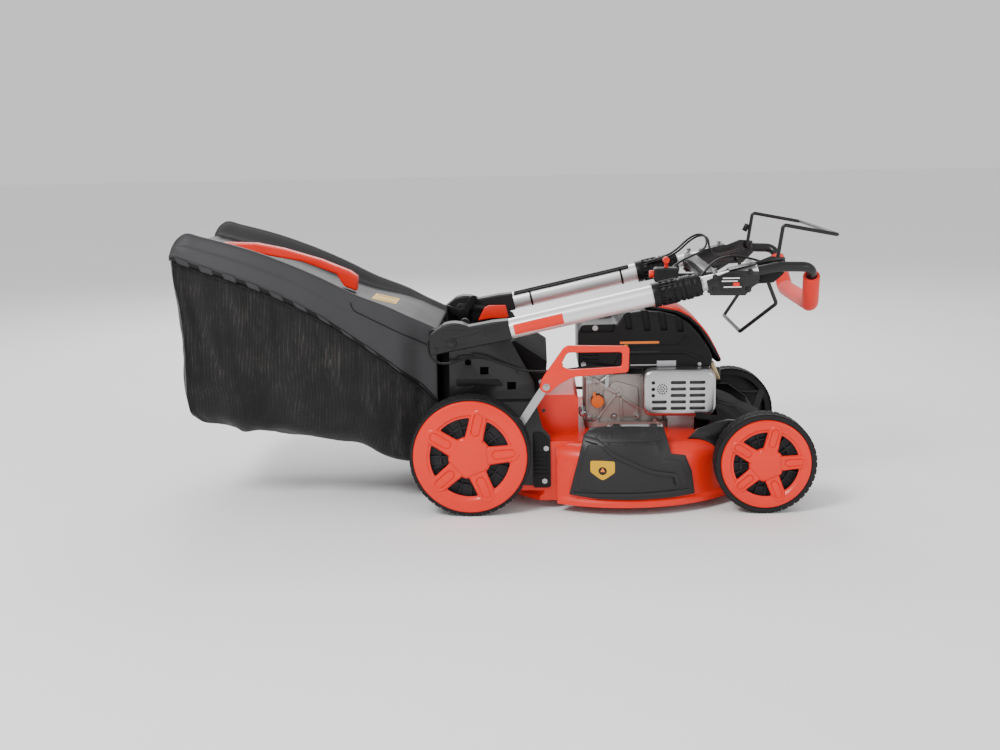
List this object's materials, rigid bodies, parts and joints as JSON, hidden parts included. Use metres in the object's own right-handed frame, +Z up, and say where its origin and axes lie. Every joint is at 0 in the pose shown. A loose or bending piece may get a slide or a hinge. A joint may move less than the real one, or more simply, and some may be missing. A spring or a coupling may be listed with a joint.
{
  "type": "push lawn mower",
  "caption": "Walk-behind petrol lawn mower with a steel deck, rear grass bag, side discharge door, folding telescoping handle and single-lever height adjustment.",
  "frame": {"origin": "on the ground under the middle of the mower's overall box, with the handle folded forward and shortened", "axes": "+X forward, the way it mows; +Y to its left; +Z up"},
  "size_m": [1.4046, 0.586, 0.593],
  "materials": {
    "red_paint": "gloss enamel",
    "red_plastic": "satin moulded",
    "black_steel": "satin powder coat",
    "black_plastic": "fine grain",
    "grey_plastic": "satin",
    "dark_cover": "fine grain",
    "tyre_black": "moulded tread",
    "zinc_steel": "zinc plated",
    "cast_alloy": "as cast",
    "tube_alloy": "satin anodised",
    "blade_steel": "oiled",
    "foam_red": "foam",
    "orange_plastic": "gloss",
    "bag_fabric": "open mesh",
    "cable_black": "satin sheath",
    "iron": "machined"
  },
  "bodies": {
    "chassis": {"deck_shell": "red_paint", "side_frames": "black_steel", "front_brackets": "black_steel", "nose_cover": "black_plastic", "discharge_chute": "black_plastic", "bolts_pins_and_spring": "zinc_steel", "crankcase": "cast_alloy", "cylinder": "cast_alloy", "spark_plug_boot": "cable_black", "muffler": "zinc_steel", "muffler_guard": "zinc_steel", "engine_shroud": "black_plastic", "engine_top_cover": "red_plastic", "air_intake": "black_plastic", "lower_cables": "cable_black"},
    "rear_carriage": {"rear_crank": "zinc_steel", "rear_axle": "zinc_steel", "gearbox": "black_plastic", "height_lever_handle": "red_plastic"},
    "front_carriage": {"front_crank": "zinc_steel"},
    "height_link": {"height_link_rod": "zinc_steel"},
    "wheel_rear_left": {"wheel_rear_left": "tyre_black", "wheel_cover_rear_left": "red_plastic"},
    "wheel_rear_right": {"wheel_rear_right": "tyre_black", "wheel_cover_rear_right": "red_plastic"},
    "wheel_front_left": {"wheel_front_left": "tyre_black", "wheel_cover_front_left": "red_plastic"},
    "wheel_front_right": {"wheel_front_right": "tyre_black", "wheel_cover_front_right": "red_plastic"},
    "side_door": {"side_door": "black_plastic"},
    "rear_door": {"rear_door": "black_plastic"},
    "oil_cap": {"oil_cap": "orange_plastic"},
    "fuel_cap": {"fuel_cap": "black_plastic"},
    "starter_grip": {"starter_grip": "black_plastic"},
    "throttle_link": {"throttle_link": "zinc_steel"},
    "blade_shaft": {"crankshaft": "blade_steel", "flywheel": "iron", "blade": "blade_steel", "blade_holder_and_bolt": "blade_steel"},
    "grass_bag": {"bag_cover": "dark_cover", "bag_body": "bag_fabric", "bag_handle": "red_plastic", "bag_frame": "black_steel"},
    "lower_handle": {"lower_tubes": "tube_alloy", "fold_knuckles": "grey_plastic", "tube_cables": "cable_black"},
    "fold_knob_left": {"fold_knob_left": "black_plastic"},
    "fold_knob_right": {"fold_knob_right": "black_plastic"},
    "fold_lock_lever": {"fold_lock_lever": "red_plastic"},
    "collar_left": {"collar_left": "black_plastic"},
    "collar_right": {"collar_right": "black_plastic"},
    "upper_handle": {"inner_tubes": "tube_alloy", "upper_bracket": "black_steel", "handlebar": "black_steel", "handlebar_grip": "foam_red", "speed_control": "grey_plastic", "upper_cables": "cable_black"},
    "speed_lever": {"speed_lever": "red_plastic"},
    "drive_bail": {"drive_bail": "black_steel"},
    "brake_bail": {"brake_bail": "black_steel"}
  },
  "joints": [
    {"name": "height_adjust", "type": "hinge", "parent": "chassis", "child": "rear_carriage", "pos_m": [-0.01813, 0, 0.0995], "axis": [0, -1, 0], "range_deg": [0, 50]},
    {"name": "front_height", "type": "hinge", "parent": "chassis", "child": "front_carriage", "pos_m": [0.59335, 0, 0.0775], "axis": [0, -1, 0], "range_deg": [0, 50]},
    {"name": "height_link_pin", "type": "hinge", "parent": "rear_carriage", "child": "height_link", "pos_m": [0.00659, 0.223, 0.17558], "axis": [0, -1, 0], "range_deg": [-50, 0]},
    {"name": "wheel_rear_left_spin", "type": "hinge", "parent": "rear_carriage", "child": "wheel_rear_left", "pos_m": [-0.06577, 0.26, 0.127], "axis": [0, 1, 0], "continuous": true},
    {"name": "wheel_front_left_spin", "type": "hinge", "parent": "front_carriage", "child": "wheel_front_left", "pos_m": [0.54572, 0.26, 0.105], "axis": [0, 1, 0], "continuous": true},
    {"name": "wheel_rear_right_spin", "type": "hinge", "parent": "rear_carriage", "child": "wheel_rear_right", "pos_m": [-0.06577, -0.26, 0.127], "axis": [0, 1, 0], "continuous": true},
    {"name": "wheel_front_right_spin", "type": "hinge", "parent": "front_carriage", "child": "wheel_front_right", "pos_m": [0.54572, -0.26, 0.105], "axis": [0, 1, 0], "continuous": true},
    {"name": "side_door_hinge", "type": "hinge", "parent": "chassis", "child": "side_door", "pos_m": [0.26223, -0.236, 0.178], "axis": [-1, 0, 0], "range_deg": [0, 75], "stiffness_Nm_per_rad": 0.4, "springref_deg": -51.57},
    {"name": "rear_door_hinge", "type": "hinge", "parent": "chassis", "child": "rear_door", "pos_m": [0.08324, 0, 0.262], "axis": [0, 1, 0], "range_deg": [0, 60]},
    {"name": "bag_off", "type": "slide", "parent": "chassis", "child": "grass_bag", "axis": [-0.9848, 0, 0.1736], "range_m": [0, 0.35]},
    {"name": "handle_fold", "type": "hinge", "parent": "chassis", "child": "lower_handle", "pos_m": [-0.10076, 0, 0.362], "axis": [0, -1, 0], "range_deg": [0, 128], "deforming": ["lower_cables"]},
    {"name": "fold_knob_left_turn", "type": "hinge", "parent": "chassis", "child": "fold_knob_left", "pos_m": [-0.10076, 0.2, 0.362], "axis": [0, 1, 0], "continuous": true},
    {"name": "fold_knob_right_turn", "type": "hinge", "parent": "chassis", "child": "fold_knob_right", "pos_m": [-0.10076, -0.2, 0.362], "axis": [0, 1, 0], "continuous": true},
    {"name": "fold_lock_lift", "type": "hinge", "parent": "chassis", "child": "fold_lock_lever", "pos_m": [-0.00377, 0.18, 0.36], "axis": [0, 1, 0], "range_deg": [0, 40]},
    {"name": "collar_left_twist", "type": "hinge", "parent": "lower_handle", "child": "collar_left", "pos_m": [0.36511, 0.223, 0.46243], "axis": [0.9767, 0, 0.2147], "range_deg": [0, 60]},
    {"name": "collar_right_twist", "type": "hinge", "parent": "lower_handle", "child": "collar_right", "pos_m": [0.36511, -0.223, 0.46243], "axis": [0.9767, 0, 0.2147], "range_deg": [0, 60]},
    {"name": "handle_extend", "type": "slide", "parent": "lower_handle", "child": "upper_handle", "axis": [0.9767, 0, 0.2147], "range_m": [0, 0.15], "deforming": ["tube_cables", "upper_cables"]},
    {"name": "drive_bail_pull", "type": "hinge", "parent": "upper_handle", "child": "drive_bail", "pos_m": [0.57427, 0, 0.51102], "axis": [0, -1, 0], "range_deg": [-52, 0], "stiffness_Nm_per_rad": 0.6, "springref_deg": 51.57},
    {"name": "brake_bail_pull", "type": "hinge", "parent": "upper_handle", "child": "brake_bail", "pos_m": [0.55227, 0, 0.48502], "axis": [0, -1, 0], "range_deg": [0, 54], "stiffness_Nm_per_rad": 0.6, "springref_deg": -51.57},
    {"name": "speed_lever_swing", "type": "hinge", "parent": "upper_handle", "child": "speed_lever", "pos_m": [0.35927, -0.06, 0.47602], "axis": [0, 1, 0], "range_deg": [-20, 20]},
    {"name": "blade_spin", "type": "hinge", "parent": "chassis", "child": "blade_shaft", "pos_m": [0.26223, 0, 0.06], "axis": [0, 0, 1], "continuous": true},
    {"name": "oil_cap_turn", "type": "hinge", "parent": "chassis", "child": "oil_cap", "pos_m": [0.20623, -0.119, 0.208], "axis": [0, 1, 0], "range_deg": [0, 90]},
    {"name": "fuel_cap_turn", "type": "hinge", "parent": "chassis", "child": "fuel_cap", "pos_m": [0.22223, 0.03, 0.385], "axis": [0, 0, 1], "range_deg": [0, 90]},
    {"name": "starter_pull", "type": "slide", "parent": "chassis", "child": "starter_grip", "axis": [0, 0, 1], "range_m": [0, 0.06], "stiffness_N_per_m": 20, "springref_m": -0.1},
    {"name": "throttle_travel", "type": "slide", "parent": "chassis", "child": "throttle_link", "axis": [1, 0, 0], "range_m": [0, 0.008]}
  ],
  "couplings": [
    {"joint": "front_height", "follows": "height_adjust", "ratio": 1},
    {"joint": "height_link_pin", "follows": "height_adjust", "ratio": -1}
  ]
}
